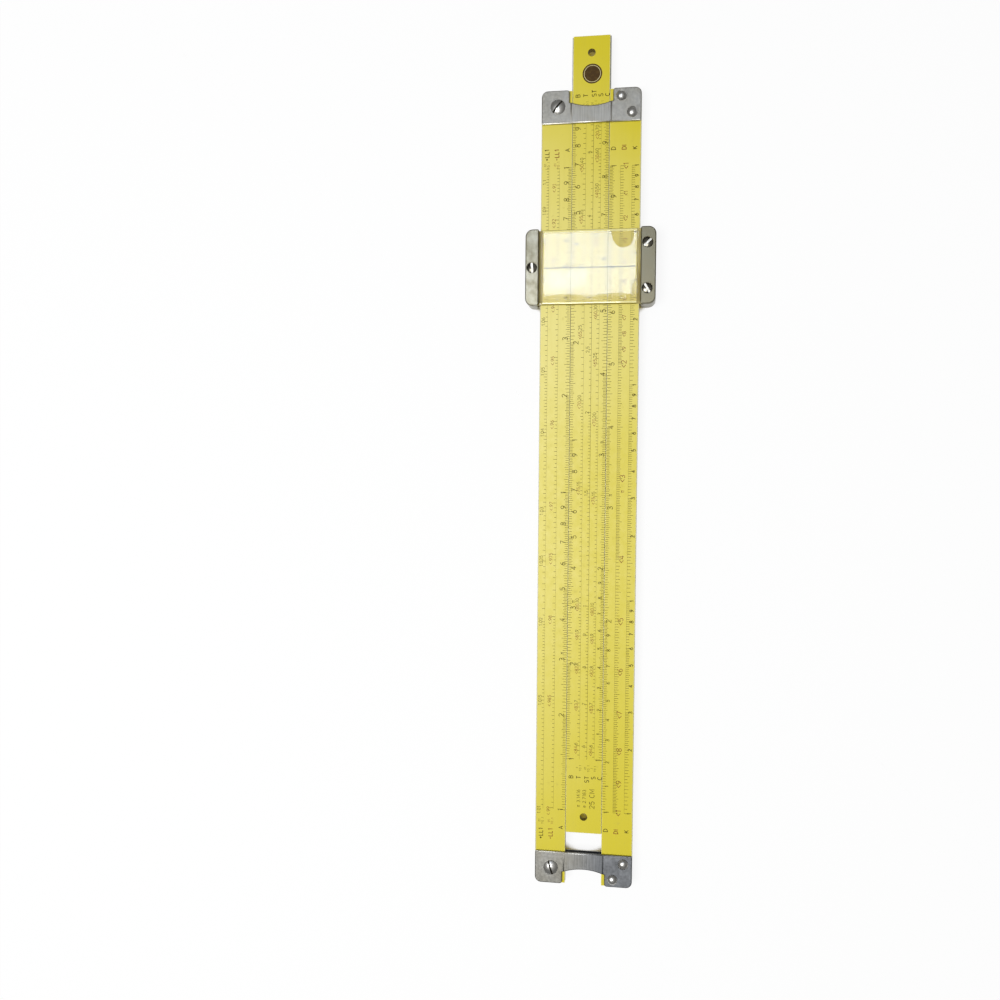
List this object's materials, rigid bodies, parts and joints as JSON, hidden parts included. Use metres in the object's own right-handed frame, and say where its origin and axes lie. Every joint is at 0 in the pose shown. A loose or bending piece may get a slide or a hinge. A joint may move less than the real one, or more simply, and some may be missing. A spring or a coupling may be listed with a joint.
{
  "type": "slide rule",
  "caption": "Duplex slide rule: a tongued slide runs between two grooved bars held by steel end brackets, under a metal-edged cursor with a clear window on each face.",
  "frame": {"origin": "under the middle of the whole outline at rest, on the surface that the cursor's rear plates lie on", "axes": "+X along the rule from the left index to the right one, +Y across it from the lower stator to the upper one, +Z out of the front face"},
  "size_m": [0.3288, 0.0498, 0.01],
  "materials": {
    "yellow_enamel": "satin",
    "bracket_steel": "satin",
    "fastener_steel": "gloss",
    "cursor_metal": "satin",
    "cursor_steel": "satin",
    "spring_steel": "satin",
    "clear_window": "gloss"
  },
  "bodies": {
    "rule_frame": {"upper_stator": "yellow_enamel", "lower_stator": "yellow_enamel", "left_front_bracket": "bracket_steel", "left_rear_bracket": "bracket_steel", "right_front_bracket": "bracket_steel", "right_rear_bracket": "bracket_steel", "left_clamp_screw": "fastener_steel", "right_clamp_screw": "fastener_steel", "left_post_nut": "fastener_steel", "right_post_nut": "fastener_steel", "left_outer_rivet": "fastener_steel", "left_inner_rivet": "fastener_steel", "right_outer_rivet": "fastener_steel", "right_inner_rivet": "fastener_steel"},
    "slide_bar": {"slide": "yellow_enamel"},
    "cursor": {"cursor_front_window": "clear_window", "cursor_rear_window": "clear_window", "cursor_upper_rail": "cursor_metal", "cursor_lower_rail": "cursor_metal", "cursor_upper_front_plate": "cursor_steel", "cursor_upper_rear_plate": "cursor_steel", "cursor_lower_front_plate": "cursor_steel", "cursor_lower_rear_plate": "cursor_steel", "cursor_front_screw_upper": "fastener_steel", "cursor_front_screw_lower_left": "fastener_steel", "cursor_front_screw_lower_right": "fastener_steel", "cursor_rear_screw_upper": "fastener_steel", "cursor_rear_screw_lower_left": "fastener_steel", "cursor_rear_screw_lower_right": "fastener_steel", "cursor_tension_spring": "spring_steel"}
  },
  "joints": [
    {"name": "slide_travel", "type": "slide", "parent": "rule_frame", "child": "slide_bar", "axis": [1, 0, 0], "range_m": [-0.2704, 0.2296]},
    {"name": "cursor_travel", "type": "slide", "parent": "rule_frame", "child": "cursor", "axis": [1, 0, 0], "range_m": [-0.2138, 0.0405]}
  ]
}
